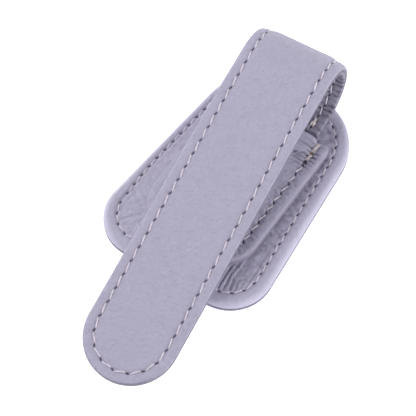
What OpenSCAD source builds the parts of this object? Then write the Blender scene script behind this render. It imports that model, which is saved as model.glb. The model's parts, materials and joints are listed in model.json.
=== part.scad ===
// Leather spring clip: a wide stitched pad, a padded magnetic leaf hinged on it,
// and a long spring-steel tongue folded back over both.
// X runs across, +Y points to the fold, -Y to the tongue's tip, +Z is up.
// The pad lies on its flat back and the origin is the centre of that back.

/* [Pad] */
// Length of the pad from tip end to hinge end
pad_length = 70; // [50:1:90]
// Width of the pad at its tip end
pad_tip_width = 53; // [46:1:68]
// Width of the pad at its hinge end
pad_hinge_width = 41; // [37:1:46]
// Corner radius at the pad's tip end
pad_tip_corner = 12; // [4:0.5:16]
// Corner radius at the pad's hinge end
pad_hinge_corner = 18; // [4:0.5:18.5]
// Distance of the pad's seam from its edge
pad_margin = 3.75; // [3:0.25:6]
// Thickness of the pad's stiffening board
pad_core = 1.8; // [1.6:0.1:3]

/* [Leaf] */
// Width of the padded leaf
leaf_width = 34; // [30:0.5:40]
// Length of the padded leaf
leaf_length = 47; // [38:1:50]
// Corner radius at the leaf's free end
leaf_corner = 10.5; // [4:0.5:14]
// Corner radius at the leaf's sewn end
leaf_top_corner = 2.5; // [1:0.5:6]
// Distance from the pad's hinge end to the leaf's sewn end
leaf_setback = 14.5; // [12:0.5:20]
// Distance of the leaf's seam from its edge
leaf_margin = 3.4; // [2.5:0.1:5]
// Thickness of the leaf's stiffening board above the spring
leaf_core = 1.3; // [1.2:0.1:2.5]

/* [Strap and tongue] */
// Width of the strap that makes the tongue and the fold
strap_width = 25.8; // [21:0.2:31]
// Straight length of the tongue from the fold to its tip
tongue_length = 95; // [80:1:96]
// Outer radius of the fold
fold_radius = 11.2; // [11:0.1:13.6]
// How far the fold's centre lies inside the pad's hinge end
fold_inset = 8.2; // [4:0.1:9]
// Height of the tongue's tip over the surface that the pad lies on
tongue_tip_gap = 1.15; // [0.8:0.05:6]
// Angle of the strap across the pad
strap_skew = 4.5; // [0:0.5:6]
// Sideways place of the fold's middle on the pad
strap_offset = -1.7; // [-3:0.1:3]
// Distance of the strap's seam from its edge
strap_margin = 2.9; // [2:0.1:5]

/* [Leather and steel] */
// Thickness of one leather skin
skin = 0.9; // [0.6:0.05:1.4]
// Thickness of the spring steel strip
spring_thickness = 0.5; // [0.3:0.05:0.8]
// Width of the spring steel strip
spring_width = 14; // [8:0.5:16]
// Bare length of leather past the spring's end at the tongue's tip
spring_tip_gap = 10; // [6:0.5:20]
// Thickness of the hinge tab between pad and strap
tab_thickness = 0.4; // [0.3:0.05:0.8]
// Width of the hinge tab
tab_width = 16; // [10:1:20]
// Running clearance between moving layers
clearance = 0.3; // [0.3:0.05:0.6]

/* [Magnets] */
// Diameter of each disc magnet
magnet_diameter = 9; // [5:0.5:10]
// Thickness of each disc magnet
magnet_thickness = 1.1; // [0.8:0.1:1.2]
// Distance between magnet centres along the pad
magnet_spacing = 12; // [11:0.5:14]
// Clearance round each magnet in its board
magnet_fit = 0.1; // [0.05:0.05:0.3]

/* [Stitching] */
// Distance from one stitch to the next
stitch_pitch = 4.1; // [3:0.1:6]
// Length of thread that shows in each stitch
stitch_length = 2.9; // [1.5:0.1:4]
// Width of the thread
thread_width = 0.5; // [0.3:0.05:0.8]
// Height of the thread over the leather
thread_height = 0.22; // [0.1:0.02:0.25]
// Width of the heavy tack thread
tack_width = 1.2; // [0.8:0.1:1.8]
// Length of each tack
tack_length = 4.2; // [2:0.2:6]

/* [Hidden] */
$fn = 64;
ARC_STEPS = 12;
FOLD_STEPS = 20;
OVER = 80;

LEATHER = "#b3afc6";
LINING = "#9d99b0";
THREAD = "#e7dfe6";
TACK = "#d8cdc6";
STEEL = "#c9ccd1";
BOARD = "#8c7a63";

pad_thickness = pad_core + 2 * skin;
pad_hinge_y = pad_length / 2;
leaf_z = pad_thickness + tab_thickness + clearance;
leaf_thickness = 2 * skin + spring_thickness + leaf_core;
leaf_end_y = pad_hinge_y - leaf_setback;
leaf_y = leaf_end_y - leaf_length / 2;
leaf_top = leaf_z + leaf_thickness;
strap_thickness = 2 * skin + spring_thickness;
fold_y = pad_hinge_y - fold_inset;
fold_z = leaf_z + fold_radius;
spring_reach = leaf_length - 2 * leaf_margin;
fold_inner_radius = fold_radius - strap_thickness;
// Downward slope of the tongue at rest, which brings its tip down to its gap
tongue_slope = atan(fold_inner_radius / tongue_length)
    + asin((fold_z - tongue_tip_gap) / norm([tongue_length, fold_inner_radius]));

// ---------- outlines ----------

// Points of an arc about a centre, from one angle to another
function arc(centre, radius, from, to, steps = ARC_STEPS) = [
    for (i = [0:steps])
        let (a = from + (to - from) * i / steps)
        centre + radius * [cos(a), sin(a)]
];

function unit(v) = v / norm(v);

// One rounded corner of a polygon at q, between its neighbours p and s
function corner(p, q, s, radius) =
    let (
        a = unit(p - q),
        b = unit(s - q),
        half = acos(a * b) / 2,
        centre = q + unit(a + b) * radius / sin(half),
        from = q + a * radius / tan(half) - centre,
        start = atan2(from[1], from[0]),
        sweep = 180 - 2 * half
    )
    arc(centre, radius, start, start + sweep);

// A polygon given anticlockwise, with one radius for each of its corners
function rounded(points, radii) = [
    for (i = [0:len(points) - 1])
        each corner(
            points[(i + len(points) - 1) % len(points)],
            points[i],
            points[(i + 1) % len(points)],
            radii[i]
        )
];

// Outline of the pad, drawn in by an inset all round
function pad_outline(inset = 0) =
    let (
        taper = atan((pad_tip_width - pad_hinge_width) / 2 / pad_length),
        side = inset / cos(taper),
        end = pad_length / 2 - inset,
        tip = pad_tip_width / 2 - side - inset * tan(taper),
        hinge = pad_hinge_width / 2 - side + inset * tan(taper),
        tip_radius = max(pad_tip_corner - inset, 0.5),
        hinge_radius = max(pad_hinge_corner - inset, 0.5)
    )
    rounded(
        [[-tip, -end], [tip, -end], [hinge, end], [-hinge, end]],
        [tip_radius, tip_radius, hinge_radius, hinge_radius]
    );

// Outline of the leaf, drawn in by an inset all round
function leaf_outline(inset = 0) =
    let (
        half = leaf_width / 2 - inset,
        low = leaf_y - leaf_length / 2 + inset,
        high = leaf_end_y - inset,
        free = max(leaf_corner - inset, 0.5),
        sewn = max(leaf_top_corner - inset, 0.5)
    )
    rounded(
        [[-half, low], [half, low], [half, high], [-half, high]],
        [free, free, sewn, sewn]
    );

// Outline of the tongue's straight leg, which ends at the fold at y = 0
function tongue_outline(width, tip_gap = 0) =
    concat(
        arc([0, -tongue_length + width / 2 + tip_gap], width / 2, 180, 360, 2 * ARC_STEPS),
        [[width / 2, 0], [-width / 2, 0]]
    );

// ---------- layers ----------

module plate(points, low, high) {
    translate([0, 0, low])
        linear_extrude(high - low)
            polygon(points);
}

module ring(outer, inner, low, high) {
    translate([0, 0, low])
        linear_extrude(high - low)
            difference() {
                polygon(outer);
                polygon(inner);
            }
}

// Part of the fold's round, between two depths from its outer face
module fold_layer(width, outer_depth, inner_depth, from, to) {
    translate([-width / 2, 0, 0])
        rotate([90, 0, 90])
            linear_extrude(width)
                polygon(concat(
                    arc([0, 0], fold_radius - outer_depth, from, to, FOLD_STEPS),
                    arc([0, 0], fold_radius - inner_depth, to, from, FOLD_STEPS)
                ));
}

// The strap lies across the pad at its skew, turned about the fold's middle
module on_strap() {
    translate([strap_offset, fold_y, fold_z])
        rotate([0, 0, strap_skew])
            children();
}

// Upper half of the folded strap: the tongue and half of the round
module upper_layer(width, outer_depth, inner_depth, tip_gap = 0) {
    on_strap()
        rotate([tongue_slope, 0, 0])
            union() {
                plate(
                    tongue_outline(width, tip_gap),
                    fold_radius - inner_depth,
                    fold_radius - outer_depth
                );
                fold_layer(width, outer_depth, inner_depth, -tongue_slope, 90);
            }
}

// Lower half of the folded strap, with a straight run towards the leaf
module lower_layer(width, outer_depth, inner_depth, run) {
    on_strap()
        union() {
            fold_layer(width, outer_depth, inner_depth, -90, 0);
            translate([-width / 2, -run, -fold_radius + outer_depth])
                cube([width, run, inner_depth - outer_depth]);
        }
}

// The lower strap stops square against the leaf's sewn end
module behind_leaf() {
    difference() {
        children();
        translate([-OVER, leaf_end_y - 2 * OVER, -OVER])
            cube([2 * OVER, 2 * OVER, 2 * OVER]);
    }
}

// ---------- stitches ----------

// One thread lying on a face, centred on a point and turned to an angle
module stitch(point, angle) {
    translate([point[0], point[1], 0])
        rotate([0, 0, angle])
            translate([-stitch_length / 2, -thread_width / 2, 0])
                cube([stitch_length, thread_width, thread_height]);
}

// Length of a path up to its point number n
function run_length(path, n) = n == 0 ? 0 : run_length(path, n - 1) + norm(path[n] - path[n - 1]);

// Point and direction at a distance along a path
function at_distance(path, lengths, distance) =
    let (
        n = [for (i = [1:len(path) - 1]) if (lengths[i] >= distance) i][0],
        share = (distance - lengths[n - 1]) / (lengths[n] - lengths[n - 1]),
        step = path[n] - path[n - 1]
    )
    [path[n - 1] + share * step, atan2(step[1], step[0])];

// Stitches spaced evenly along a path, with the first half a pitch from its start
module seam(path) {
    lengths = [for (i = [0:len(path) - 1]) run_length(path, i)];
    total = lengths[len(path) - 1];
    count = floor(total / stitch_pitch);
    for (i = [0:count - 1]) {
        place = at_distance(path, lengths, (i + 0.5) * total / count);
        stitch(place[0], place[1]);
    }
}

function closed(path) = concat(path, [path[0]]);

// ---------- pad ----------

module pad_back_leather() {
    color(LEATHER) plate(pad_outline(), 0, skin);
}

module pad_face_lining() {
    color(LINING) plate(pad_outline(), pad_thickness - skin, pad_thickness);
}

module pad_turned_edge() {
    color(LEATHER) ring(pad_outline(), pad_outline(pad_margin), skin, skin + pad_core);
}

// Magnet centres run along the middle of the leaf
function magnet_places() = [for (i = [-1:1]) [0, leaf_y + i * magnet_spacing]];

module pad_board() {
    color(BOARD)
        difference() {
            plate(pad_outline(pad_margin), skin, skin + pad_core);
            for (p = magnet_places())
                translate([p[0], p[1], skin + pad_core - magnet_thickness - magnet_fit])
                    cylinder(d = magnet_diameter + 2 * magnet_fit, h = OVER);
        }
}

module pad_magnets() {
    color(STEEL)
        for (p = magnet_places())
            translate([p[0], p[1], skin + pad_core - magnet_thickness])
                cylinder(d = magnet_diameter, h = magnet_thickness);
}

// The seam is left out where the hinge tab covers it
module pad_stitching() {
    color(THREAD)
        difference() {
            translate([0, 0, pad_thickness]) seam(closed(pad_outline(pad_margin)));
            translate([-tab_width / 2 - stitch_length, 0, 0]) cube([tab_width + 2 * stitch_length, OVER, OVER]);
        }
}

module hinge_tab() {
    color(LEATHER)
        translate([-tab_width / 2, leaf_end_y, pad_thickness])
            cube([tab_width, leaf_setback, tab_thickness]);
}

// ---------- leaf ----------

module leaf_under_leather() {
    color(LEATHER) plate(leaf_outline(), leaf_z, leaf_z + skin);
}

module leaf_face_lining() {
    color(LINING) plate(leaf_outline(), leaf_top - skin, leaf_top);
}

// The edge and the board are cut away where the spring passes through them
module leaf_turned_edge() {
    color(LEATHER)
        difference() {
            ring(leaf_outline(), leaf_outline(leaf_margin), leaf_z + skin, leaf_top - skin);
            spring_lower_leg();
        }
}

module leaf_board() {
    color(BOARD)
        difference() {
            plate(leaf_outline(leaf_margin), leaf_z + skin, leaf_top - skin);
            spring_lower_leg();
            for (p = magnet_places())
                translate([p[0], p[1], leaf_z + skin + spring_thickness])
                    cylinder(d = magnet_diameter + 2 * magnet_fit, h = magnet_thickness + magnet_fit);
        }
}

module leaf_magnets() {
    color(STEEL)
        for (p = magnet_places())
            translate([p[0], p[1], leaf_z + skin + spring_thickness])
                cylinder(d = magnet_diameter, h = magnet_thickness);
}

// The seam stops short at the sewn end, where the tacks take over
module leaf_stitching() {
    inner = leaf_outline(leaf_margin);
    middle = [for (p = inner) if (p[1] < leaf_end_y - leaf_margin - tack_length) p];
    side = [leaf_width / 2 - leaf_margin, leaf_end_y - leaf_margin - tack_length];
    path = concat([[-side[0], side[1]]], middle, [side]);
    color(THREAD) translate([0, 0, leaf_top]) seam(path);
}

// Heavy thread over the two corners of the sewn end
module leaf_tacks() {
    color(TACK)
        for (s = [-1, 1])
            translate([s * (leaf_width / 2 - leaf_margin), leaf_end_y - leaf_margin, leaf_top + tack_width / 2])
                rotate([90, 0, 0])
                    cylinder(d = tack_width, h = tack_length, center = true);
}

// ---------- rear strap, the lower half of the fold ----------

module rear_strap_leather() {
    color(LEATHER) behind_leaf() lower_layer(strap_width, 0, skin, OVER);
}

module rear_strap_lining() {
    color(LINING)
        behind_leaf() lower_layer(strap_width, skin + spring_thickness, strap_thickness, OVER);
}

module rear_strap_filler() {
    color(BOARD)
        difference() {
            behind_leaf() lower_layer(strap_width, skin, skin + spring_thickness, OVER);
            spring_lower_leg();
        }
}

// Seams on the inside of the fold's lower half, with each stitch's ends on the lining
module rear_strap_stitching() {
    seat = sqrt(pow(fold_inner_radius, 2) - pow(stitch_length, 2) / 4);
    step = stitch_pitch / fold_inner_radius * 180 / PI;
    color(THREAD)
        on_strap()
            for (s = [-1, 1], i = [0:floor(90 / step) - 1])
                rotate([(i + 0.5) * step, 0, 0])
                    translate([0, 0, -seat])
                        stitch([s * (strap_width / 2 - strap_margin), 0], 90);
}

// Knots that end the strap's seams just behind the leaf
module rear_strap_knots() {
    color(TACK)
        on_strap()
            for (s = [-1, 1])
                translate([
                    s * (strap_width / 2 - strap_margin),
                    leaf_end_y - fold_y + tack_width + tack_length / 2,
                    strap_thickness - fold_radius
                ])
                    cylinder(d = 2 * tack_width, h = tack_width);
}

module spring_lower_leg() {
    color(STEEL)
        lower_layer(
            spring_width,
            skin,
            skin + spring_thickness,
            fold_y - leaf_end_y + spring_reach
        );
}

// ---------- tongue, the upper half of the fold ----------

module spring_upper_leg() {
    color(STEEL) upper_layer(spring_width, skin, skin + spring_thickness, spring_tip_gap);
}

module tongue_leather() {
    color(LEATHER) upper_layer(strap_width, 0, skin);
}

module tongue_lining() {
    color(LINING) upper_layer(strap_width, skin + spring_thickness, strap_thickness);
}

module tongue_filler() {
    color(BOARD)
        difference() {
            upper_layer(strap_width, skin, skin + spring_thickness);
            spring_upper_leg();
        }
}

module tongue_stitching() {
    half = strap_width / 2 - strap_margin;
    tip = arc([0, -tongue_length + strap_width / 2], half, 180, 360, 2 * ARC_STEPS);
    color(THREAD)
        on_strap()
            rotate([tongue_slope, 0, 0])
                translate([0, 0, fold_radius])
                    seam(concat([[-half, 0]], tip, [[half, 0]]));
}

pad_back_leather();
pad_face_lining();
pad_turned_edge();
pad_board();
pad_magnets();
pad_stitching();
hinge_tab();
leaf_under_leather();
leaf_face_lining();
leaf_turned_edge();
leaf_board();
leaf_magnets();
leaf_stitching();
leaf_tacks();
rear_strap_leather();
rear_strap_lining();
rear_strap_filler();
rear_strap_stitching();
rear_strap_knots();
spring_lower_leg();
spring_upper_leg();
tongue_leather();
tongue_lining();
tongue_filler();
tongue_stitching();
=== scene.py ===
"""Leather spring clip: soft leather skins, linings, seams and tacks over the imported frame."""

import json
import math
import random

import bmesh
import bpy
import numpy as np
from mathutils import Matrix, Vector, noise


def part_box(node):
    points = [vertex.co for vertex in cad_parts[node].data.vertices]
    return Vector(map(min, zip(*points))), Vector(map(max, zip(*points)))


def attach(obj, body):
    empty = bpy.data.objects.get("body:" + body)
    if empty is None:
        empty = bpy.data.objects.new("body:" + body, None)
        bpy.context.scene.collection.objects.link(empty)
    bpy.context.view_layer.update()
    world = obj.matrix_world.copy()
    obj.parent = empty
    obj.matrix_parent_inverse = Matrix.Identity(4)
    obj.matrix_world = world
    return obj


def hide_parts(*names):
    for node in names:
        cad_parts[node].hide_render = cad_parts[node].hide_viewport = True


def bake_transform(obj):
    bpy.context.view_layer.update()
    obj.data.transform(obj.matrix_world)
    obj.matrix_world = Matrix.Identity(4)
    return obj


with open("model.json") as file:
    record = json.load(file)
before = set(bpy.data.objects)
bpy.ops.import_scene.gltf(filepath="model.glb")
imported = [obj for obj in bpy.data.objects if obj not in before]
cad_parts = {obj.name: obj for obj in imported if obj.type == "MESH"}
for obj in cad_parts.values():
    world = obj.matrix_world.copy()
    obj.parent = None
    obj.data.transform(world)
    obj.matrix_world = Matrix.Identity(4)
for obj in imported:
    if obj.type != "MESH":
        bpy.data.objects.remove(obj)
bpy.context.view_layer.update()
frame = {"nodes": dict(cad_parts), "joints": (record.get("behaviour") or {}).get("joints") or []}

MM = 0.001
random.seed(7)

# ---------- sizes, in millimetres, from the frame where it has them ----------

JOINTS = {j["name"]: j for j in frame["joints"]}
FLEX = JOINTS["tongue_flex"]


def box_mm(node):
    """The lowest and highest corner of a CAD node's box."""
    low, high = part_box(node)
    return np.array(low) / MM, np.array(high) / MM


PAD_LOW, PAD_HIGH = box_mm("pad_back_leather")
PAD_TOP = box_mm("pad_face_lining")[1][2]
LEAF_LOW, LEAF_HIGH = box_mm("leaf_under_leather")
LEAF_TOP = box_mm("leaf_face_lining")[1][2]
TAB_LOW, TAB_HIGH = box_mm("hinge_tab")

PAD_LENGTH = PAD_HIGH[1] - PAD_LOW[1]
PAD_TIP_WIDTH = 53.0
PAD_HINGE_WIDTH = 41.0
PAD_TIP_CORNER = 12.0
PAD_HINGE_CORNER = 18.0
PAD_MARGIN = 3.75
# How much nearer the edge the pad's seam runs along its left side
SEAM_DRIFT = 1.25

# The leaf is trimmed this much on its left side
LEAF_TRIM = 0.9
LEAF_WIDTH = LEAF_HIGH[0] - LEAF_LOW[0] - LEAF_TRIM
LEAF_LENGTH = LEAF_HIGH[1] - LEAF_LOW[1]
LEAF_END = LEAF_HIGH[1]
LEAF_CORNER = 10.5
LEAF_TOP_CORNER = 2.5
LEAF_MARGIN = 3.4

THREAD_RADIUS = 0.2
BACK_THREAD_RADIUS = 0.1

STRAP_WIDTH = 25.8
STRAP_MARGIN = 2.9
STRAP_THICKNESS = 2.3
TONGUE_LENGTH = 95.0
SPRING_WIDTH = 14.0

FLEX_POS = np.array(FLEX["pos_m"]) / MM
SKEW = math.atan2(-FLEX["axis"][1], -FLEX["axis"][0])
FOLD_RADIUS = FLEX_POS[2] - LEAF_LOW[2]
FOLD = FLEX_POS - FOLD_RADIUS * np.array([-math.sin(SKEW), math.cos(SKEW), 0])
FOLD_INNER = FOLD_RADIUS - STRAP_THICKNESS
# Height of the tongue's tip over the surface that the pad lies on
TIP_GAP = 1.15
SLOPE = math.atan(FOLD_INNER / TONGUE_LENGTH) + math.asin(
    (FOLD[2] - TIP_GAP) / math.hypot(TONGUE_LENGTH, FOLD_INNER)
)
FOLD_SWEEP = math.pi + SLOPE
LOWER_RUN = FOLD[1] - LEAF_END
STRAP_LENGTH = TONGUE_LENGTH + FOLD_RADIUS * FOLD_SWEEP + LOWER_RUN

# ---------- materials ----------

# Painted shade: this tint darkens the leather where a mesh attribute marks creases, holes, seams, gaps
# and edges
PAINTED_SHADE_TINT = (0.16, 0.12, 0.17, 1)


def new_material(name):
    material = bpy.data.materials.new(name)
    material.use_nodes = True
    nodes = material.node_tree.nodes
    return material, nodes, material.node_tree.links, nodes["Principled BSDF"]


def texture(nodes, links, kind, scale, **settings):
    """A texture node over object coordinates; a setting is an input's value or a node's option."""
    coords = nodes.new("ShaderNodeTexCoord")
    node = nodes.new(kind)
    node.inputs["Scale"].default_value = scale
    for key, value in settings.items():
        if key in node.inputs:
            node.inputs[key].default_value = value
        else:
            setattr(node, key, value)
    links.new(coords.outputs["Object"], node.inputs["Vector"])
    return node


def ramp(nodes, links, source, stops):
    """A colour ramp with (place, colour) stops."""
    node = nodes.new("ShaderNodeValToRGB")
    elements = node.color_ramp.elements
    while len(elements) < len(stops):
        elements.new(0.5)
    for element, (place, colour) in zip(elements, stops):
        element.position = place
        element.color = (*colour, 1)
    links.new(source, node.inputs["Fac"])
    return node


def shade(colour, amount):
    return tuple(c * amount for c in colour)


def weighted_sum(nodes, links, source, weight, added):
    """source * weight + added."""
    node = nodes.new("ShaderNodeMath")
    node.operation = "MULTIPLY_ADD"
    node.inputs[1].default_value = weight
    links.new(source, node.inputs[0])
    links.new(added, node.inputs[2])
    return node.outputs["Value"]


def add_bump(nodes, links, bsdf, height, strength, distance):
    bump = nodes.new("ShaderNodeBump")
    bump.inputs["Strength"].default_value = strength
    bump.inputs["Distance"].default_value = distance
    links.new(height, bump.inputs["Height"])
    links.new(bump.outputs["Normal"], bsdf.inputs["Normal"])


def leather(name, colour, grain=0.95, roughness=0.55):
    """Soft nappa leather: mottled tone, pebble grain and fine pores, with painted shade from a mesh
    attribute in its creases, holes, seams and edges.
    """
    material, nodes, links, bsdf = new_material(name)
    mottle = texture(nodes, links, "ShaderNodeTexNoise", 420, Detail=6.0, Roughness=0.7)
    tone = ramp(
        nodes, links, mottle.outputs["Fac"],
        [(0.3, shade(colour, 0.94)), (0.52, colour), (0.75, shade(colour, 1.04))],
    )
    # Painted shade, read from the mesh and multiplied into the base colour
    painted_shade = nodes.new("ShaderNodeAttribute")
    painted_shade.attribute_name = "painted_shade"
    dark = nodes.new("ShaderNodeMix")
    dark.data_type = "RGBA"
    dark.blend_type = "MULTIPLY"
    dark.inputs["B"].default_value = PAINTED_SHADE_TINT
    links.new(painted_shade.outputs["Fac"], dark.inputs["Factor"])
    links.new(tone.outputs["Color"], dark.inputs["A"])
    links.new(dark.outputs["Result"], bsdf.inputs["Base Color"])

    pebbles = texture(nodes, links, "ShaderNodeTexVoronoi", 1200, feature="SMOOTH_F1")
    pores = texture(nodes, links, "ShaderNodeTexNoise", 3200, Detail=3.0)
    soft = texture(nodes, links, "ShaderNodeTexNoise", 420, Detail=4.0, Roughness=0.55)
    pored = weighted_sum(nodes, links, pores.outputs["Fac"], 0.5, pebbles.outputs["Distance"])
    surface = weighted_sum(nodes, links, soft.outputs["Fac"], 0.6, pored)
    add_bump(nodes, links, bsdf, surface, grain, 0.0004)

    gloss = ramp(
        nodes, links, soft.outputs["Fac"],
        [(0.3, shade((1, 1, 1), roughness - 0.05)), (0.7, shade((1, 1, 1), roughness + 0.07))],
    )
    links.new(gloss.outputs["Color"], bsdf.inputs["Roughness"])
    bsdf.inputs["Specular IOR Level"].default_value = 0.25
    bsdf.inputs["Sheen Weight"].default_value = 0.12
    bsdf.inputs["Sheen Roughness"].default_value = 0.5
    return material


def thread(name, colour):
    """Twisted thread: fine plies across its length and a slight sheen."""
    material, nodes, links, bsdf = new_material(name)
    plies = texture(nodes, links, "ShaderNodeTexNoise", 5200, Detail=2.0)
    tone = ramp(
        nodes, links, plies.outputs["Fac"],
        [(0.35, shade(colour, 0.78)), (0.6, colour), (0.8, shade(colour, 1.08))],
    )
    links.new(tone.outputs["Color"], bsdf.inputs["Base Color"])
    add_bump(nodes, links, bsdf, plies.outputs["Fac"], 0.35, 0.0001)
    bsdf.inputs["Roughness"].default_value = 0.6
    bsdf.inputs["Sheen Weight"].default_value = 0.3
    return material


def metal(name, colour, roughness, scratch_scale):
    """Bare metal with fine scratches."""
    material, nodes, links, bsdf = new_material(name)
    scratches = texture(nodes, links, "ShaderNodeTexNoise", scratch_scale, Detail=6.0)
    tone = ramp(
        nodes, links, scratches.outputs["Fac"],
        [(0.3, shade(colour, 0.85)), (0.7, colour)],
    )
    links.new(tone.outputs["Color"], bsdf.inputs["Base Color"])
    add_bump(nodes, links, bsdf, scratches.outputs["Fac"], 0.1, 0.00005)
    bsdf.inputs["Metallic"].default_value = 1.0
    bsdf.inputs["Roughness"].default_value = roughness
    return material


def fibre_board(name, colour):
    """Pressed fibre board."""
    material, nodes, links, bsdf = new_material(name)
    fibres = texture(nodes, links, "ShaderNodeTexNoise", 900, Detail=8.0, Roughness=0.7)
    tone = ramp(
        nodes, links, fibres.outputs["Fac"],
        [(0.3, shade(colour, 0.7)), (0.7, shade(colour, 1.15))],
    )
    links.new(tone.outputs["Color"], bsdf.inputs["Base Color"])
    bsdf.inputs["Roughness"].default_value = 0.85
    return material


LAVENDER = (0.457, 0.433, 0.574)
# Painted light: the pad's and leaf's faces are the lavender leather lightened; their finer grain is
# their own
PAINTED_LIGHT_FACE_TONE = (0.540, 0.512, 0.660)
# Painted shade: the lining is the lavender leather darkened for the shade inside the fold
PAINTED_SHADE_LINING_TONE = (0.315, 0.298, 0.392)

SKIN = leather("lavender_leather", LAVENDER)
PAINTED_LIGHT_FACE = leather("face_leather_painted_light", PAINTED_LIGHT_FACE_TONE, grain=0.4, roughness=0.6)
PAINTED_SHADE_LINING = leather("lining_leather_painted_shade", PAINTED_SHADE_LINING_TONE, grain=0.3, roughness=0.6)
THREAD = thread("seam_thread", (0.84, 0.77, 0.87))
TACK = thread("tack_thread", (0.78, 0.71, 0.70))
STEEL = metal("spring_steel", (0.55, 0.56, 0.58), 0.35, 1200)
NICKEL = metal("magnet_nickel", (0.66, 0.65, 0.62), 0.2, 2500)
BOARD = fibre_board("fibre_board", (0.30, 0.22, 0.14))

# ---------- small numeric helpers ----------


def falloff(distance, width):
    """A bell that is 1 at distance 0."""
    return np.exp(-((distance / width) ** 2))


def rise(value, start, end):
    """Smooth step from 0 at start to 1 at end."""
    x = np.clip((value - start) / (end - start), 0, 1)
    return x * x * (3 - 2 * x)


def field(a, b, scale_a, scale_b, seed):
    """Smooth noise between about -1 and 1 over two flat coordinates."""
    flat = [
        noise.noise(Vector((x * scale_a, y * scale_b, seed * 7.31)))
        for x, y in zip(a.ravel().tolist(), b.ravel().tolist())
    ]
    return np.array(flat).reshape(a.shape)


def wrinkles(a, b, scale_a, scale_b, seed):
    """Sharp valleys between soft ridges: 0 on the ridges, -1 in the valleys."""
    warp = 0.8 * field(a, b, scale_a * 0.4, scale_b * 0.8, seed + 3)
    lines = field(a + warp, b, scale_a, scale_b, seed)
    return -np.exp(-np.abs(lines) * 7.0)


def pleats(along, across, pitch, seed):
    """Round ridges with sharp valleys, running across a direction: about -0.6 to 0.4."""
    warped = along + 0.55 * pitch * field(along, across, 0.35 / pitch, 0.16, seed)
    return np.abs(np.sin(math.pi * warped / pitch)) - 0.64


def round_edge(d, radius):
    """Drop of a rounded edge at a distance in from it."""
    x = np.clip(d, 0, radius)
    return radius - np.sqrt(np.maximum(radius**2 - (radius - x) ** 2, 0))


def bulge(d, width):
    """A low arch over the first stretch in from an edge, 1 at its middle."""
    return np.sin(np.clip(d / width, 0, 1) * math.pi)


def painted_hole_shade(dents):
    """Painted shade in the needle holes: they are painted nearly black."""
    return 0.95 * rise(dents, 0.2, 0.7)


# Painted shade in the needle holes of the under faces
def painted_back_hole_shade(dents):
    return 0.8 * rise(dents, 0.25, 0.9)


def painted_gap_shade(d, width=0.3):
    """Painted shade in the gap between two layers of leather, at their edge."""
    return 0.6 * falloff(d, width)


# ---------- outlines ----------

CORNER_STEPS = 64
SHARPEST_CORNER = 0.3
STRAP_STEP = 0.4
TIP_STEPS = 100


def arc(centre, radius, start, end, steps):
    angles = np.linspace(start, end, steps + 1)
    return np.stack([centre[0] + radius * np.cos(angles), centre[1] + radius * np.sin(angles)], 1)


def rounded(points, radii, spacing):
    """A polygon with round corners. Its point count doesn't change with the corners' radii."""
    points = [np.array(p, float) for p in points]
    corners = []
    for i, p in enumerate(points):
        a = points[i - 1] - p
        b = points[(i + 1) % len(points)] - p
        a, b = a / np.linalg.norm(a), b / np.linalg.norm(b)
        half = math.acos(float(a @ b)) / 2
        middle = p + (a + b) / np.linalg.norm(a + b) * radii[i] / math.sin(half)
        start = p + a * radii[i] / math.tan(half) - middle
        angle = math.atan2(start[1], start[0])
        corners.append(arc(middle, radii[i], angle, angle + math.pi - 2 * half, CORNER_STEPS))
    path = []
    for i, corner in enumerate(corners):
        path.append(corner[:-1])
        following = corners[(i + 1) % len(corners)][0]
        steps = spacing[i]
        share = np.arange(steps)[:, None] / steps
        path.append(corner[-1] + share * (following - corner[-1]))
    return np.concatenate(path)


def pad_outline(inset):
    """The pad narrows towards the hinge; both ends have round corners."""
    taper = math.atan((PAD_TIP_WIDTH - PAD_HINGE_WIDTH) / 2 / PAD_LENGTH)
    end = PAD_LENGTH / 2 - inset
    side = inset / math.cos(taper)
    tip = PAD_TIP_WIDTH / 2 - side - inset * math.tan(taper)
    hinge = PAD_HINGE_WIDTH / 2 - side + inset * math.tan(taper)
    radii = (PAD_TIP_CORNER, PAD_TIP_CORNER, PAD_HINGE_CORNER, PAD_HINGE_CORNER)
    return rounded(
        [(-tip, -end), (tip, -end), (hinge, end), (-hinge, end)],
        [max(r - inset, SHARPEST_CORNER) for r in radii],
        (90, 130, 30, 130),
    )


def pad_ring(inset):
    """The pad's outline at an inset; along one side the rings, and the seam, keep nearer the edge."""
    ring = pad_outline(inset)
    x, y = ring[:, 0], ring[:, 1]
    beside = rise(-x, 9, 16) * rise(y, -27, -8) * (1 - rise(y, 20, 33))
    near_seam = rise(inset, 0, PAD_MARGIN) * (1 - rise(inset, PAD_MARGIN, 9))
    ring[:, 0] -= SEAM_DRIFT * beside * near_seam
    return ring


def leaf_outline(inset):
    half = LEAF_WIDTH / 2 - inset
    low = LEAF_LOW[1] + inset
    high = LEAF_END - inset
    radii = (LEAF_CORNER, LEAF_CORNER, LEAF_TOP_CORNER, LEAF_TOP_CORNER)
    return rounded(
        [(-half, low), (half, low), (half, high), (-half, high)],
        [max(r - inset, SHARPEST_CORNER) for r in radii],
        (40, 110, 80, 110),
    )


def strap_rails(inset, width=STRAP_WIDTH, tip=0.0):
    """A strap's edge at an inset, from its far end down one side, round the tip and back up."""
    half = width / 2
    steps = int((STRAP_LENGTH - half - tip) / STRAP_STEP)
    side = np.linspace(STRAP_LENGTH, half + tip, steps)[:-1]
    left = np.stack([np.full_like(side, -(half - inset)), side], 1)
    round_tip = arc((0, half + tip), half - inset, math.pi, 2 * math.pi, TIP_STEPS)
    right = left[::-1] * np.array([-1, 1])
    return np.concatenate([left, round_tip, right])


# ---------- flat patterns to space ----------

# How far the strap's side edges sink at the fold
FOLD_DROOP = 0.9


def flat_map(points):
    return points


def turn_over(points):
    """What is built upside down on an under face is turned over here."""
    flat = points.copy()
    flat[:, 2] = -flat[:, 2]
    return flat


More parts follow.
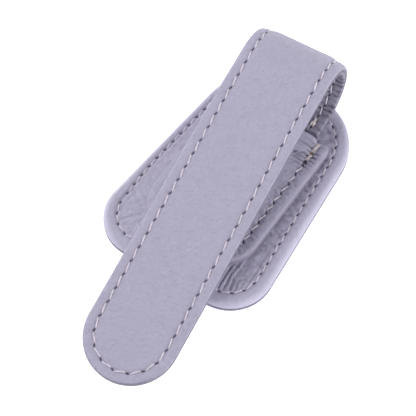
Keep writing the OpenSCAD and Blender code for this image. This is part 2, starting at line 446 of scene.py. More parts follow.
def strap_map(points):
    """Wrap (across, along, height over the outer face) round the tongue, the fold and the lower run."""
    across, along, height = points[:, 0], points[:, 1], points[:, 2]
    over_fold = rise(along, TONGUE_LENGTH - 14, TONGUE_LENGTH + 2)
    over_fold = over_fold * (1 - rise(along, TONGUE_LENGTH + 14, TONGUE_LENGTH + 30))
    droop = FOLD_DROOP * over_fold * rise(np.abs(across), STRAP_WIDTH / 2 - 5.5, STRAP_WIDTH / 2 + 0.5)
    radius = FOLD_RADIUS + height - droop
    bend = np.clip((along - TONGUE_LENGTH) / FOLD_RADIUS, 0, FOLD_SWEEP)
    angle = math.pi / 2 + SLOPE - bend
    before = np.minimum(along - TONGUE_LENGTH, 0)
    after = np.maximum(along - TONGUE_LENGTH - FOLD_RADIUS * FOLD_SWEEP, 0)
    y = radius * np.cos(angle) + before * math.cos(SLOPE) - after
    z = radius * np.sin(angle) + before * math.sin(SLOPE)
    x = across * math.cos(SKEW) - y * math.sin(SKEW)
    y = across * math.sin(SKEW) + y * math.cos(SKEW)
    return np.stack([x + FOLD[0], y + FOLD[1], z + FOLD[2]], 1)


# ---------- mesh building ----------


def make_piece(name, points, faces, material, painted_shade=None):
    """A smooth mesh from points in millimetres; the last argument is painted shade that darkens the
    leather, 0 to 1.
    """
    mesh = bpy.data.meshes.new(name)
    mesh.from_pydata((np.asarray(points) * MM).tolist(), [], faces)
    if painted_shade is not None:
        layer = mesh.attributes.new("painted_shade", "FLOAT", "POINT")
        layer.data.foreach_set("value", np.clip(painted_shade, 0, 1).astype(np.float32))
    mesh.materials.append(material)
    mesh.polygons.foreach_set("use_smooth", [True] * len(mesh.polygons))
    mesh.update()
    piece = bpy.data.objects.new(name, mesh)
    bpy.context.collection.objects.link(piece)
    return piece


def weld(piece):
    """Join the points that meet and turn every face outwards."""
    distance = 1e-6
    work = bmesh.new()
    work.from_mesh(piece.data)
    bmesh.ops.remove_doubles(work, verts=work.verts, dist=distance)
    bmesh.ops.dissolve_degenerate(work, edges=work.edges, dist=distance)
    bmesh.ops.recalc_face_normals(work, faces=work.faces)
    work.to_mesh(piece.data)
    work.free()
    piece.data.polygons.foreach_set("use_smooth", [True] * len(piece.data.polygons))
    piece.data.update()


def shell(name, rings, insets, top, bottom, to_space, material, closed=True):
    """A closed slab between two height functions over a set of inset rings.

    top and bottom take (a, b, inset) and give (height, painted shade).
    """
    count = len(rings[0])
    a = np.concatenate([r[:, 0] for r in rings])
    b = np.concatenate([r[:, 1] for r in rings])
    d = np.repeat(np.array(insets), count)
    high, high_painted_shade = top(a, b, d)
    low, low_painted_shade = bottom(a, b, d)
    upper = to_space(np.stack([a, b, high], 1))
    lower = to_space(np.stack([a, b, low], 1))
    offset = len(a)
    faces = []
    spans = count if closed else count - 1
    for k in range(len(rings) - 1):
        for i in range(spans):
            j = (i + 1) % count
            p, q, r, s = k * count + i, k * count + j, (k + 1) * count + j, (k + 1) * count + i
            faces.append((p, q, r, s))
            faces.append((offset + s, offset + r, offset + q, offset + p))
    for i in range(spans):
        j = (i + 1) % count
        faces.append((offset + i, offset + j, j, i))
    if not closed:
        for k in range(len(rings) - 1):
            for i in (0, count - 1):
                p, q = k * count + i, (k + 1) * count + i
                faces.append((p, q, offset + q, offset + p))
    else:
        last = (len(rings) - 1) * count
        faces.append(tuple(last + i for i in range(count)))
        faces.append(tuple(offset + last + i for i in range(count))[::-1])
    piece = make_piece(
        name, np.concatenate([upper, lower]), faces, material,
        np.concatenate([high_painted_shade, low_painted_shade]),
    )
    weld(piece)
    return piece


def closed_rings(outline, insets, inner_steps):
    """Inset rings near the edge, then rings drawn in towards the middle."""
    rings = [outline(d) for d in insets]
    middle = rings[-1].mean(0)
    reach = float(np.min(np.linalg.norm(rings[-1] - middle, axis=1)))
    shares = np.linspace(1, 0.02, inner_steps + 1)[1:]
    inner = [middle + (rings[-1] - middle) * f for f in shares]
    depths = list(insets) + [insets[-1] + reach * (1 - f) for f in shares]
    return rings + inner, depths


# ---------- seams ----------


class Seam:
    """Holes and threads spaced along a flat path.

    slant leans the stitches, hole is a needle hole's length and width, hole_slant turns the hole.
    """

    def __init__(self, path, pitch, slant, hole, hole_slant):
        steps = np.linalg.norm(np.diff(path, axis=0), axis=1)
        run = np.concatenate([[0], np.cumsum(steps)])
        count = max(1, round(run[-1] / pitch))
        self.pitch = run[-1] / count
        at = (np.arange(count) + 0.5) * self.pitch
        reach = 0.2

        def on_path(where):
            return np.stack([np.interp(where, run, path[:, 0]), np.interp(where, run, path[:, 1])], 1)

        self.holes = on_path(at)
        along = on_path(at + reach) - on_path(at - reach)
        self.along = along / np.linalg.norm(along, axis=1)[:, None]
        self.slant = slant
        self.hole = hole
        self.hole_slant = hole_slant

    def dents(self, a, b):
        """How deep each flat point lies in a needle hole, 0 to 1."""
        depth = np.zeros(len(a))
        turn = self.hole_slant
        for (x, y), (ux, uy) in zip(self.holes, self.along):
            near = np.where((np.abs(a - x) < 1.6) & (np.abs(b - y) < 1.6))[0]
            if not len(near):
                continue
            dx, dy = a[near] - x, b[near] - y
            vx = ux * math.cos(turn) - uy * math.sin(turn)
            vy = ux * math.sin(turn) + uy * math.cos(turn)
            long = dx * vx + dy * vy
            short = -dx * vy + dy * vx
            bell = np.exp(-((long / self.hole[0]) ** 2) - (short / self.hole[1]) ** 2)
            depth[near] = np.maximum(depth[near], bell)
        return depth

    def threads(self, height, radius, to_space, gap=0.55):
        """Tubes that rise out of one hole and dive into the next."""
        points, faces = [], []
        sides, rows = 8, 13
        u = np.linspace(0, 1, rows)
        wave = 1 - np.abs(2 * u - 1) ** 5
        for i in range(len(self.holes) - 1):
            start, end = self.holes[i], self.holes[i + 1]
            if np.linalg.norm(end - start) > 1.6 * self.pitch:
                continue
            run = end - start
            length = np.linalg.norm(run)
            run = run / length
            across = np.array([-run[1], run[0]])
            lean = self.slant * length / 2 * np.array([-1, 1])
            wobble = random.uniform(-0.06, 0.06)
            trim = gap * random.uniform(0.9, 1.1)
            first = start + run * trim + across * (lean[0] + wobble)
            last = end - run * trim + across * (lean[1] + wobble)
            line = first + u[:, None] * (last - first)
            lift = height(line[:, 0], line[:, 1]) + radius * (1.9 * wave - 1.3)
            twist = random.uniform(0, 6)
            base = len(points) * sides * rows
            ring = []
            for k in range(rows):
                thick = radius * (0.55 + 0.45 * wave[k]) * random.uniform(0.95, 1.05)
                for m in range(sides):
                    angle = 2 * math.pi * m / sides
                    ply = 1 + 0.14 * math.cos(2 * angle - twist - 9 * u[k])
                    side = across * math.cos(angle) * thick * ply
                    ring.append((line[k, 0] + side[0], line[k, 1] + side[1],
                                 lift[k] + math.sin(angle) * thick * ply))
            points.append(ring)
            for k in range(rows - 1):
                for m in range(sides):
                    n = (m + 1) % sides
                    faces.append((base + k * sides + m, base + k * sides + n,
                                  base + (k + 1) * sides + n, base + (k + 1) * sides + m))
            faces.append(tuple(base + m for m in range(sides))[::-1])
            faces.append(tuple(base + (rows - 1) * sides + m for m in range(sides)))
        flat = np.array(points).reshape(-1, 3)
        return to_space(flat), faces


def thread_piece(name, parts, material):
    points, faces, offset = [], [], 0
    for p, f in parts:
        points.append(p)
        faces += [tuple(i + offset for i in face) for face in f]
        offset += len(p)
    return make_piece(name, np.concatenate(points), faces, material)


# ---------- the strap: tongue, fold and lower run ----------

# Depths of the rings in from the edge, closer together where the edge and the seam need them
STRAP_INSETS = [
    0, 0.05, 0.14, 0.28, 0.45, 0.65, 0.95, 1.3, 1.7, 2.05, 2.3, 2.5, 2.66, 2.78, 2.9, 3.02,
    3.14, 3.3, 3.5, 3.8, 4.2, 4.8, 5.6, 6.6, 7.8, 9.0, 10.2, 11.4, 12.3, STRAP_WIDTH / 2,
]
# How deep the outer leather reaches, and the gap to the lining
COVER_DEPTH = 1.17
LAYER_GAP = 0.03
NEARLY_NOTHING = 1e-4

STRAP_PITCH = 4.1
STRAP_HOLE = (0.58, 0.25)

strap_path = strap_rails(STRAP_MARGIN)
strap_seam = Seam(strap_path, STRAP_PITCH, slant=0.13, hole=STRAP_HOLE, hole_slant=-0.45)
lining_seam = Seam(strap_path, STRAP_PITCH, slant=-0.13, hole=STRAP_HOLE, hole_slant=0.45)


def strap_swell(a, b):
    return 0.10 * field(a, b, 0.09, 0.035, 11) + 0.035 * field(a, b, 0.3, 0.3, 12)


def cover_top(a, b, d):
    seam_line = falloff(d - STRAP_MARGIN, 0.55)
    border = 0.16 * bulge(d, STRAP_MARGIN)
    dents = strap_seam.dents(a, b)
    ease = rise(d, 0, 2.5)
    fine = wrinkles(a, b, 0.14, 0.42, 15) + wrinkles(a + 0.5 * b, b, 0.2, 0.3, 16)
    faint = 0.055 * fine * rise(d, 3.2, 6) * (0.35 + 0.65 * falloff(b - 45, 25))
    height = (
        0.02 - round_edge(d, 0.6) + border - 0.20 * seam_line - 0.42 * dents
        + ease * strap_swell(a, b) + faint
    )
    # Painted shade along the strap's edge, stronger round the tip where its underside lies in shadow,
    # and in the seam groove and needle holes
    at_tip = 1 - rise(b, 2, 10)
    painted_edge_shade = (0.22 + 0.5 * at_tip) * falloff(d, 0.3)
    return height, painted_hole_shade(dents) + 0.08 * seam_line + painted_edge_shade


def cover_bottom(a, b, d):
    inside = rise(d, 3.6, 5.2)
    height = -COVER_DEPTH + round_edge(d, 0.4) * 0.9 + 0.27 * inside
    return height, painted_gap_shade(d, 0.35)


def fold_gathers(a, b):
    """Cross wrinkles of the lining where the strap bends inwards."""
    in_fold = rise(b, TONGUE_LENGTH - 4, TONGUE_LENGTH + 8)
    depth = 0.75 + 0.75 * field(b, a, 0.22, 0.12, 24)
    gathers = depth * pleats(b, a, 2.1, 21) + 0.6 * wrinkles(b, a, 0.8, 0.2, 23)
    return in_fold * gathers, in_fold


def lining_top(a, b, d):
    """The lining's hidden face, against the cover."""
    inside = rise(d, 3.6, 5.2)
    height = -COVER_DEPTH - LAYER_GAP - round_edge(d, 0.38) * 0.9 - 0.23 * inside
    return height, painted_gap_shade(d, 0.35)


def lining_bottom(a, b, d):
    seam_line = falloff(d - STRAP_MARGIN, 0.6)
    border = 0.08 * bulge(d, STRAP_MARGIN)
    dents = lining_seam.dents(a, b)
    gathers, in_fold = fold_gathers(a, b)
    puff = in_fold * 0.12 * (1 - seam_line) * rise(d, 0, 2)
    height = (
        -STRAP_THICKNESS + round_edge(d, 0.5) - border + 0.18 * seam_line + 0.42 * dents
        - 0.34 * gathers * rise(d, 0.2, 1.5) - puff
        - 0.06 * field(a, b, 0.25, 0.2, 22) * rise(d, 0, 2)
    )
    # Painted shade in the needle holes and in the valleys of the gathers
    return height, painted_hole_shade(dents) + 1.1 * np.clip(-gathers, 0, 1)


def strap_height(a, b):
    return 0.02 - 0.20 + strap_swell(a, b)


def lining_height(a, b):
    return np.full(len(a), STRAP_THICKNESS - 0.16)


def inner_strap_map(points):
    return strap_map(turn_over(points))


def build_strap():
    rings = [strap_rails(min(d, STRAP_WIDTH / 2 - NEARLY_NOTHING)) for d in STRAP_INSETS]
    skin = shell(
        "strap_skin", rings, STRAP_INSETS, cover_top, cover_bottom, strap_map, SKIN, closed=False
    )
    lining = shell(
        "strap_lining", rings, STRAP_INSETS, lining_top, lining_bottom, strap_map, PAINTED_SHADE_LINING, closed=False
    )
    outer = strap_seam.threads(strap_height, THREAD_RADIUS, strap_map)
    inner = lining_seam.threads(lining_height, THREAD_RADIUS, inner_strap_map)
    return skin, lining, thread_piece("strap_threads", [outer, inner], THREAD)


strap_skin, strap_lining, strap_threads = build_strap()

# ---------- the spring strip: a bent length in the strap, and a flat leg in the leaf ----------

SPRING_INSETS = [0, 0.1, 0.4, 1.5, 3, 5, SPRING_WIDTH / 2 - NEARLY_NOTHING]
SPRING_TOP = -0.93
SPRING_BOTTOM = -1.37
SPRING_EDGE = 0.08
# The strip ends this much short of the strap's tip
SPRING_TIP = 10.0
SPRING_LEG = LEAF_LENGTH - 2 * LEAF_MARGIN


def spring_top(a, b, d):
    return SPRING_TOP - round_edge(d, SPRING_EDGE), np.zeros(len(a))


def spring_bottom(a, b, d):
    return SPRING_BOTTOM + round_edge(d, SPRING_EDGE), np.zeros(len(a))


def leg_rails(inset):
    """The leg runs from the strap's sewn end to a square end near the leaf's free end."""
    half = SPRING_WIDTH / 2 - inset
    along = np.linspace(STRAP_LENGTH, STRAP_LENGTH + SPRING_LEG, 80)
    left = np.stack([np.full_like(along, -half), along], 1)
    return np.concatenate([left, left[::-1] * np.array([-1, 1])])


def build_spring():
    bent = [strap_rails(d, SPRING_WIDTH, SPRING_TIP) for d in SPRING_INSETS]
    flat = [leg_rails(d) for d in SPRING_INSETS]
    return [
        shell(
            name, rails, SPRING_INSETS, spring_top, spring_bottom, strap_map, STEEL, closed=False
        )
        for name, rails in (("spring_strip", bent), ("spring_leg", flat))
    ]


spring_strip, spring_leg = build_spring()
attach(spring_leg, "leaf")

# The strap's pieces have their placement baked into their meshes.
for piece in (strap_skin, strap_lining, strap_threads, spring_strip):
    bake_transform(piece)

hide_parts("tongue_leather", "rear_strap_leather", "tongue_filler", "rear_strap_filler")
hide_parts("tongue_lining", "rear_strap_lining")
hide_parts("tongue_stitching", "rear_strap_stitching")
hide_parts("spring_upper_leg")
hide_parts("spring_lower_leg")

# ---------- the pad ----------

PAD_BACK_TOP = 1.25
PAD_RINGS = 40
EDGE_INSETS = [
    0, 0.06, 0.16, 0.3, 0.5, 0.75, 1.05, 1.4, 1.8, 2.2, 2.6, 2.95, 3.2, 3.4, 3.55, 3.65, 3.75,
    3.85, 3.95, 4.1, 4.3, 4.6, 5.0, 5.5, 6.1, 6.8, 7.6, 8.5,
]
pad_loop = pad_ring(PAD_MARGIN)
pad_path = np.concatenate([pad_loop, pad_loop[:1]])
pad_seam = Seam(pad_path, 3.4, slant=0.10, hole=(0.52, 0.25), hole_slant=-0.45)


def pad_relief(a, b, d):
    """Height of the pad's face over its nominal top, without the needle holes."""
    seam_line = falloff(d - PAD_MARGIN, 0.5)
    roll = 0.12 * bulge(d, PAD_MARGIN)
    inside = rise(d, PAD_MARGIN, PAD_MARGIN + 1.5)
    fan = falloff(b + 25, 8) * falloff(a - 13, 12)
    lengthwise = 0.75 * pleats(a + 0.10 * b, b, 1.3, 31) + 0.3 * wrinkles(a, b, 0.9, 0.14, 36)
    cross = wrinkles(a, b, 0.30, 0.42, 32) + 0.7 * wrinkles(b, a, 0.8, 0.3, 34)
    rough = 0.09 + 0.24 * rise(a, -2, 12)
    folds = lengthwise * (0.06 + 0.72 * fan) + rough * cross * (1 - 0.7 * fan)
    swell = 0.08 * field(a, b, 0.12, 0.12, 33) + 0.16 * inside * field(a, b, 0.7, 0.9, 35)
    height = -round_edge(d, 1.5) + roll - 0.22 * seam_line + inside * (folds - 0.12) + swell
    # Painted shade: a painted shadow beside the leaf, a slightly darker inside, and darkening in the
    # wrinkle valleys and the seam groove
    under = falloff(a - 20, 3.5) * rise(b, -22, -12)
    painted_shade = inside * (0.02 + 0.10 * under + 0.6 * np.clip(-folds, 0, 1)) + 0.10 * seam_line
    return height, painted_shade


def pad_top(a, b, d):
    dents = pad_seam.dents(a, b)
    height, painted_shade = pad_relief(a, b, d)
    return PAD_TOP + height - 0.4 * dents, painted_shade + painted_hole_shade(dents)


def pad_split(a, b, d):
    height = PAD_BACK_TOP + LAYER_GAP + 0.9 * round_edge(d, 0.45) + 1.45 * rise(d, 3.0, 4.4)
    return height, painted_gap_shade(d)


def back_top(a, b, d):
    return PAD_BACK_TOP - 0.9 * round_edge(d, 0.4) - 0.42 * rise(d, 3.2, 4.4), painted_gap_shade(d)


def back_bottom(a, b, d):
    dents = pad_seam.dents(a, b)
    groove = falloff(d - PAD_MARGIN, 0.5)
    return round_edge(d, 0.55) + 0.12 * groove + 0.35 * dents, painted_back_hole_shade(dents)


def pad_height(a, b):
    edge = np.full(len(a), PAD_MARGIN)
    return PAD_TOP + pad_relief(a, b, edge)[0]


def back_height(a, b):
    return np.full(len(a), -0.16)


def build_pad():
    rings, depths = closed_rings(pad_ring, EDGE_INSETS, PAD_RINGS)
    face = shell("pad_face", rings, depths, pad_top, pad_split, flat_map, PAINTED_LIGHT_FACE)
    back = shell("pad_back", rings, depths, back_top, back_bottom, flat_map, SKIN)
    upper = pad_seam.threads(pad_height, THREAD_RADIUS, flat_map)
    lower = pad_seam.threads(back_height, BACK_THREAD_RADIUS, turn_over)
    return face, back, thread_piece("pad_threads", [upper, lower], THREAD)


pad_face, pad_back, pad_threads = build_pad()
for piece in (pad_face, pad_back, pad_threads):
    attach(piece, "pad")
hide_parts("pad_face_lining", "pad_turned_edge")
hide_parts("pad_back_leather")
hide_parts("pad_stitching")

# ---------- the leaf ----------

LEAF_SPLIT = LEAF_LOW[2] + 1.0
LEAF_FACE = LEAF_TOP - 0.15
LEAF_RINGS = 34
LEAF_INSETS = [
    0, 0.06, 0.16, 0.3, 0.5, 0.75, 1.05, 1.4, 1.8, 2.2, 2.55, 2.8, 3.0, 3.15, 3.28, 3.4,
    3.52, 3.65, 3.8, 4.05, 4.4, 4.9, 5.5, 6.2, 7.0, 7.9, 8.9,
]
TACK_X = LEAF_WIDTH / 2 - LEAF_MARGIN
TACK_RUN = 7.2
TACK_HOLES = (4.65, 7.8)


def leaf_seam_path():
    """Round the leaf, open at the sewn end where the tacks take over."""
    loop = leaf_outline(LEAF_MARGIN)
    keep = loop[loop[:, 1] < LEAF_END - TACK_RUN]
    start = int(np.argmax(np.linalg.norm(np.diff(keep, axis=0), axis=1))) + 1
    return np.roll(keep, -start, axis=0)


leaf_seam = Seam(leaf_seam_path(), 3.55, slant=-0.24, hole=(0.62, 0.25), hole_slant=0.6)


def leaf_relief(a, b, d):
    seam_line = falloff(d - LEAF_MARGIN, 0.5)
    to_end = LEAF_END - b
    side = np.abs(a) - TACK_X
    pinch = falloff(side, 1.5) * (1 - rise(to_end, 5, 9))
    lobe = falloff(side + 4.0, 3.2) * falloff(to_end - 2.6, 3.0)
    outer_lobe = falloff(side - 2.2, 1.6) * falloff(to_end - 3.0, 3.5)
    gathers = pleats(b, a, 1.35, 41) * falloff(side + 1.0, 5.5) * falloff(to_end - 6.5, 3.6)
    along = wrinkles(b + 0.4 * np.abs(a), a, 0.75, 0.22, 42) * falloff(side + 0.5, 4.0)
    crown = 0.5 * rise(d, LEAF_MARGIN, LEAF_MARGIN + 5)
    crinkles = wrinkles(b, a, 1.5, 0.5, 45) * falloff(side, 3.5)
    seen = 1 - 0.75 * rise(-a, 0, 10)
    roll = 0.04 * bulge(d, LEAF_MARGIN)
    inside = rise(d, 0.4, 1.6)
    height = (
        -round_edge(d, 0.45) + roll + crown - 0.18 * seam_line - 0.7 * pinch
        + 0.7 * lobe + 0.2 * outer_lobe
        + inside * (0.65 * gathers + seen * (0.22 * along + 0.20 * crinkles))
        + 0.10 * inside * field(a, b, 0.5, 0.4, 43)
    )
    # Painted shade in the valleys of the gathers and wrinkles, in the seam groove and on the leaf's
    # edge wall
    folds = 1.5 * np.clip(-gathers, 0, 1) - seen * (0.22 * along + 0.30 * crinkles)
    painted_shade = inside * folds + 0.1 * seam_line + 0.45 * falloff(d, 0.35)
    return height, painted_shade


def tack_holes(a, b):
    """The open needle holes at the ends of the heavy stitches."""
    depth = np.zeros(len(a))
    for back in TACK_HOLES:
        away = np.hypot(np.abs(a) - TACK_X, b - (LEAF_END - back))
        depth = np.maximum(depth, falloff(away, 0.55))
    return depth


def leaf_top(a, b, d):
    dents = np.maximum(leaf_seam.dents(a, b), tack_holes(a, b))
    height, painted_shade = leaf_relief(a, b, d)
    return LEAF_FACE + height - 0.3 * dents, painted_shade + painted_hole_shade(dents)


def leaf_split_top(a, b, d):
    height = LEAF_SPLIT + LAYER_GAP + 0.9 * round_edge(d, 0.45) + 1.4 * rise(d, 3.0, 4.2)
    return height, painted_gap_shade(d)


def leaf_under_top(a, b, d):
    return LEAF_SPLIT - 0.9 * round_edge(d, 0.4) - 0.12 * rise(d, 2.6, 3.4), painted_gap_shade(d)


def leaf_under_bottom(a, b, d):
    dents = leaf_seam.dents(a, b)
    return LEAF_LOW[2] + round_edge(d, 0.5) + 0.35 * dents, painted_back_hole_shade(dents)


def leaf_map(points):
    """The leaf is trimmed on one side only, so its middle lies a little to the other side."""
    return points + np.array([LEAF_TRIM / 2, 0, 0])


def leaf_turned_over(points):
    return leaf_map(turn_over(points))


def notch(points):
    """The sewn end is drawn in where the heavy threads pull over its edge."""
    moved = leaf_map(points)
    near_end = rise(points[:, 1], LEAF_END - 3.5, LEAF_END)
    pull = falloff(np.abs(points[:, 0]) - TACK_X, 1.1)
    moved[:, 1] -= 1.3 * near_end * pull
    return moved


def leaf_height(a, b):
    edge = np.full(len(a), LEAF_MARGIN)
    return LEAF_FACE + leaf_relief(a, b, edge)[0]


def leaf_under_height(a, b):
    return np.full(len(a), -LEAF_LOW[2] - 0.12)


def strand(points, radius):
    """A round thread along a smooth line of points, thinner at its ends."""
    sides = 10
    taper = 0.6
    line = np.array(points, float)
    u = np.linspace(0, len(line) - 1, 8 * (len(line) - 1) + 1)
    smooth = np.stack([np.interp(u, np.arange(len(line)), line[:, k]) for k in range(3)], 1)
    for _ in range(5):
        smooth[1:-1] = (smooth[:-2] + 2 * smooth[1:-1] + smooth[2:]) / 4
    rows = len(smooth)
    direction = np.gradient(smooth, axis=0)
    direction /= np.linalg.norm(direction, axis=1)[:, None]
    out, faces = [], []
    for k in range(rows):
        w = k / (rows - 1)
        thick = radius * (taper + (1 - taper) * (1 - abs(2 * w - 1) ** 4))
        side = np.cross(direction[k], (0, 0, 1))
        if np.linalg.norm(side) < 0.1:
            side = np.array([1.0, 0, 0])
        side /= np.linalg.norm(side)
        up = np.cross(side, direction[k])
        for m in range(sides):
            angle = 2 * math.pi * m / sides
            ply = 1 + 0.13 * math.cos(3 * angle - 14 * w)
            out.append(smooth[k] + thick * ply * (math.cos(angle) * side + math.sin(angle) * up))
    for k in range(rows - 1):
        for m in range(sides):
            n = (m + 1) % sides
            faces.append((k * sides + m, k * sides + n, (k + 1) * sides + n, (k + 1) * sides + m))
    faces.append(tuple(range(sides))[::-1])
    faces.append(tuple((rows - 1) * sides + m for m in range(sides)))
    return np.array(out), faces


def tack_strands(side):
    """Two heavy stitches in line with the seam; the first goes over the leaf's sewn end."""
    x = side * TACK_X + LEAF_TRIM / 2
    z = LEAF_TOP - 1.15
    strands = []
    for offset in (-0.34, 0.34):
        strands.append(strand(
            [
                (x + offset, LEAF_END - 1.0, LEAF_LOW[2] + 1.4),
                (x + offset, LEAF_END - 0.75, z - 0.6),
                (x + offset * 0.8, LEAF_END - 1.3, z + 0.35),
                (x - offset * 0.3, LEAF_END - 2.6, z + 0.5 + offset * 0.3),
                (x - offset * 0.9, LEAF_END - 3.9, z + 0.15),
                (x - offset * 0.8, LEAF_END - 4.4, z - 0.7),
            ], 0.38,
        ))
    for offset in (-0.3, 0.3):
        strands.append(strand(
            [
                (x + offset, LEAF_END - 4.9, z - 0.6),
                (x + offset * 1.2, LEAF_END - 5.2, z + 0.4),
                (x - offset * 0.2, LEAF_END - 6.2, z + 0.5 + offset * 0.3),
                (x - offset * 1.3, LEAF_END - 7.2, z + 0.2),
                (x - offset * 1.4, LEAF_END - 7.5, z - 0.6),
            ], 0.3,
        ))
    return strands


def build_leaf():
    rings, depths = closed_rings(leaf_outline, LEAF_INSETS, LEAF_RINGS)
    face = shell("leaf_face", rings, depths, leaf_top, leaf_split_top, notch, PAINTED_LIGHT_FACE)
    under = shell("leaf_under", rings, depths, leaf_under_top, leaf_under_bottom, notch, SKIN)
    upper = leaf_seam.threads(leaf_height, THREAD_RADIUS, leaf_map, gap=0.45)
    lower = leaf_seam.threads(leaf_under_height, BACK_THREAD_RADIUS, leaf_turned_over)
    threads = thread_piece("leaf_threads", [upper, lower], THREAD)
    tacks = thread_piece("leaf_tack_threads", tack_strands(-1) + tack_strands(1), TACK)
    return face, under, threads, tacks


leaf_face, leaf_under, leaf_threads, leaf_tacks = build_leaf()
for piece in (leaf_face, leaf_under, leaf_threads, leaf_tacks):
    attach(piece, "leaf")
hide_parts("leaf_face_lining", "leaf_turned_edge")
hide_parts("leaf_under_leather")
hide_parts("leaf_stitching")
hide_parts("leaf_tacks")

# ---------- knots at the end of the strap's inner seams ----------

KNOT_BACK = 3.1
KNOT_SCALE = 0.6
KNOT_THREAD = 0.26
# Three loops and a loose end, each as points across, along and out of the lining
KNOT_LOOPS = [
    [(-0.7, -1.2, -0.3), (-0.5, -0.6, 0.5), (0.0, 0.3, 0.75), (0.4, 1.0, 0.4), (0.5, 1.4, -0.3)],
    [(0.6, -1.2, -0.3), (0.55, -0.5, 0.55), (0.1, 0.2, 0.95), (-0.45, 0.8, 0.5), (-0.6, 1.3, -0.3)],
    [(-0.9, 0.0, -0.2), (-0.45, 0.15, 0.8), (0.2, -0.1, 1.0), (0.8, 0.1, 0.5), (0.95, 0.3, -0.2)],
    [(0.0, 1.0, 0.2), (0.1, 1.8, 0.35), (0.35, 2.4, 0.2), (0.3, 2.9, -0.3)],
]


def knot_strands(side):
    along = STRAP_LENGTH - KNOT_BACK
    x = side * (STRAP_WIDTH / 2 - STRAP_MARGIN)
    out = []
    for loop in KNOT_LOOPS:
        flat = [
            (x + KNOT_SCALE * p[0], along - KNOT_SCALE * p[1], STRAP_THICKNESS + KNOT_SCALE * p[2])
            for p in loop
        ]
        points, faces = strand(flat, KNOT_THREAD)
        out.append((inner_strap_map(points), faces))
    return out


strap_knots = thread_piece("strap_knot_threads", knot_strands(-1) + knot_strands(1), TACK)
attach(strap_knots, "leaf")
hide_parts("rear_strap_knots")

# ---------- the hinge tab, a strip folded between pad and strap ----------

HINGE = np.array(JOINTS["leaf_hinge"]["pos_m"]) / MM
TAB_WIDTH = TAB_HIGH[0] - TAB_LOW[0]
TAB_SKIN = 0.26
# The strip turns back this far short of the hinge line, round this radius
TAB_SHORT = 0.1
TAB_TURN = 0.17


def tab_line():
    """Side view of the folded strip: along the pad, round the hinge and back under the strap."""
    back = HINGE[1] - TAB_SHORT
    low = [(y, TAB_LOW[2] + TAB_SKIN / 2 + 0.01) for y in np.linspace(TAB_LOW[1], back, 40)]
    turn = [
        (back + TAB_TURN * math.cos(t), HINGE[2] - 0.05 + TAB_TURN * math.sin(t))
        for t in np.linspace(-math.pi / 2, math.pi / 2, 10)[1:-1]
    ]
    high = [(y, TAB_LOW[2] + TAB_SKIN * 1.5 + 0.12) for y in np.linspace(back, FOLD[1], 24)]
    return np.array(low + turn + high)


def build_tab():
    line = tab_line()
    direction = np.gradient(line, axis=0)
    direction /= np.linalg.norm(direction, axis=1)[:, None]
    normal = np.stack([-direction[:, 1], direction[:, 0]], 1)
    xs = np.linspace(-TAB_WIDTH / 2, TAB_WIDTH / 2, 17)
    rows, cols = len(line), len(xs)
    points = []
    for sign in (-1, 1):
        for (y, z), (ny, nz) in zip(line, normal):
            for x in xs:
                points.append((x, y + sign * ny * TAB_SKIN / 2, z + sign * nz * TAB_SKIN / 2))
    faces = []
    layer = rows * cols
    for r in range(rows - 1):
        for c in range(cols - 1):
            p = r * cols + c
            faces.append((p, p + 1, p + cols + 1, p + cols))
            faces.append((layer + p + cols, layer + p + cols + 1, layer + p + 1, layer + p))
        for c in (0, cols - 1):
            p = r * cols + c
            faces.append((p, p + cols, layer + p + cols, layer + p))
    for r in (0, rows - 1):
        for c in range(cols - 1):
            p = r * cols + c
            faces.append((p, p + 1, layer + p + 1, layer + p))
    piece = make_piece("hinge_strip", np.array(points), faces, SKIN, np.zeros(len(points)))
    weld(piece)
    return piece


hinge_strip = build_tab()
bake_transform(hinge_strip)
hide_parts("hinge_tab")

# ---------- finishes of the carried-over inner pieces ----------

FINISHES = {
    "pad_board": BOARD,
    "leaf_board": BOARD,
    "pad_magnets": NICKEL,
    "leaf_magnets": NICKEL,
}
for node, material in FINISHES.items():
    piece = frame["nodes"][node]
    piece.data.materials.clear()
    piece.data.materials.append(material)

# ---------- floor, light and camera ----------


def build_floor():
    mesh = bpy.data.meshes.new("floor")
    half = 1.5
    corners = [(-half, -half, 0), (half, -half, 0), (half, half, 0), (-half, half, 0)]
    mesh.from_pydata(corners, [], [(0, 1, 2, 3)])
    floor = bpy.data.objects.new("floor", mesh)
    floor.location.z = -0.0002
    bpy.context.collection.objects.link(floor)
    material, _, _, bsdf = new_material("floor_white")
    bsdf.inputs["Base Color"].default_value = (0.9, 0.9, 0.9, 1)
    bsdf.inputs["Roughness"].default_value = 0.9
    bsdf.inputs["Specular IOR Level"].default_value = 0.0
    bsdf.inputs["Emission Color"].default_value = (1, 1, 1, 1)
    bsdf.inputs["Emission Strength"].default_value = 0.6
    mesh.materials.append(material)


# Name, place, width and power of each lamp; all of them point at the clip's middle
LAMPS = [
    ("key", (-0.28, 0.25, 0.75), 0.40, 1.85),
    ("right", (0.65, 0.00, 0.26), 0.45, 2.3),
    ("left", (-0.60, -0.15, 0.25), 0.45, 2.1),
]
LAMP_TARGET = (0, -0.015, 0.01)


def area_light(name, place, size, power):
    light = bpy.data.lights.new(name, "AREA")
    light.shape = "DISK"
    light.size = size
    light.energy = power
    lamp = bpy.data.objects.new(name, light)
    lamp.location = place
    lamp.rotation_euler = (Vector(LAMP_TARGET) - Vector(place)).to_track_quat("-Z", "Y").to_euler()
    bpy.context.collection.objects.link(lamp)


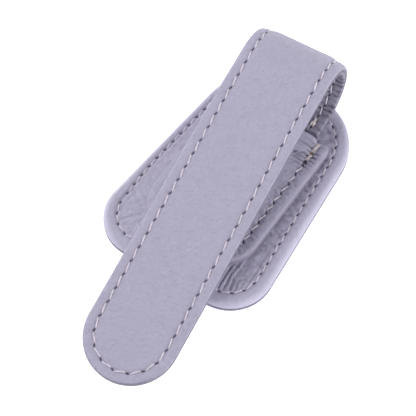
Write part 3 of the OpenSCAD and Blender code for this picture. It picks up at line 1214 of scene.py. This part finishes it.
def build_light():
    """A pale studio: bright round the horizon, softer overhead, with three large lamps."""
    world = bpy.data.worlds.new("studio")
    bpy.context.scene.world = world
    world.use_nodes = True
    nodes, links = world.node_tree.nodes, world.node_tree.links
    direction = nodes.new("ShaderNodeTexCoord")
    parts = nodes.new("ShaderNodeSeparateXYZ")
    fade = nodes.new("ShaderNodeMapRange")
    fade.inputs["From Max"].default_value = 0.55
    fade.inputs["To Min"].default_value = 1.0
    fade.inputs["To Max"].default_value = 0.38
    links.new(direction.outputs["Generated"], parts.inputs["Vector"])
    links.new(parts.outputs["Z"], fade.inputs["Value"])
    links.new(fade.outputs["Result"], nodes["Background"].inputs["Strength"])
    nodes["Background"].inputs["Color"].default_value = (1, 1, 1, 1)
    for lamp in LAMPS:
        area_light(*lamp)


CAMERA_AZIMUTH = math.radians(35.512)
CAMERA_ELEVATION = math.radians(60.801)
CAMERA_ROLL = math.radians(-1.031)
CAMERA_DISTANCE = 0.461
CAMERA_TARGET = Vector((0.00025, -0.01423, 0.008))
CAMERA_LENS = 150.2
SENSOR = 36.0


def build_camera():
    a, e = CAMERA_AZIMUTH, CAMERA_ELEVATION
    back = Vector((math.cos(e) * math.sin(a), -math.cos(e) * math.cos(a), math.sin(e)))
    right = Vector((math.cos(a), math.sin(a), 0))
    up = back.cross(right)
    rolled_right = right * math.cos(CAMERA_ROLL) + up * math.sin(CAMERA_ROLL)
    rolled_up = up * math.cos(CAMERA_ROLL) - right * math.sin(CAMERA_ROLL)
    camera = bpy.data.cameras.new("camera")
    camera.lens = CAMERA_LENS
    camera.sensor_width = SENSOR
    camera.clip_start = 0.01
    holder = bpy.data.objects.new("camera", camera)
    place = CAMERA_TARGET + back * CAMERA_DISTANCE
    turn = Matrix((rolled_right, rolled_up, back)).transposed().to_4x4()
    holder.matrix_world = Matrix.Translation(place) @ turn
    bpy.context.collection.objects.link(holder)
    bpy.context.scene.camera = holder


build_floor()
build_light()
build_camera()
bpy.context.scene.view_settings.view_transform = "Standard"
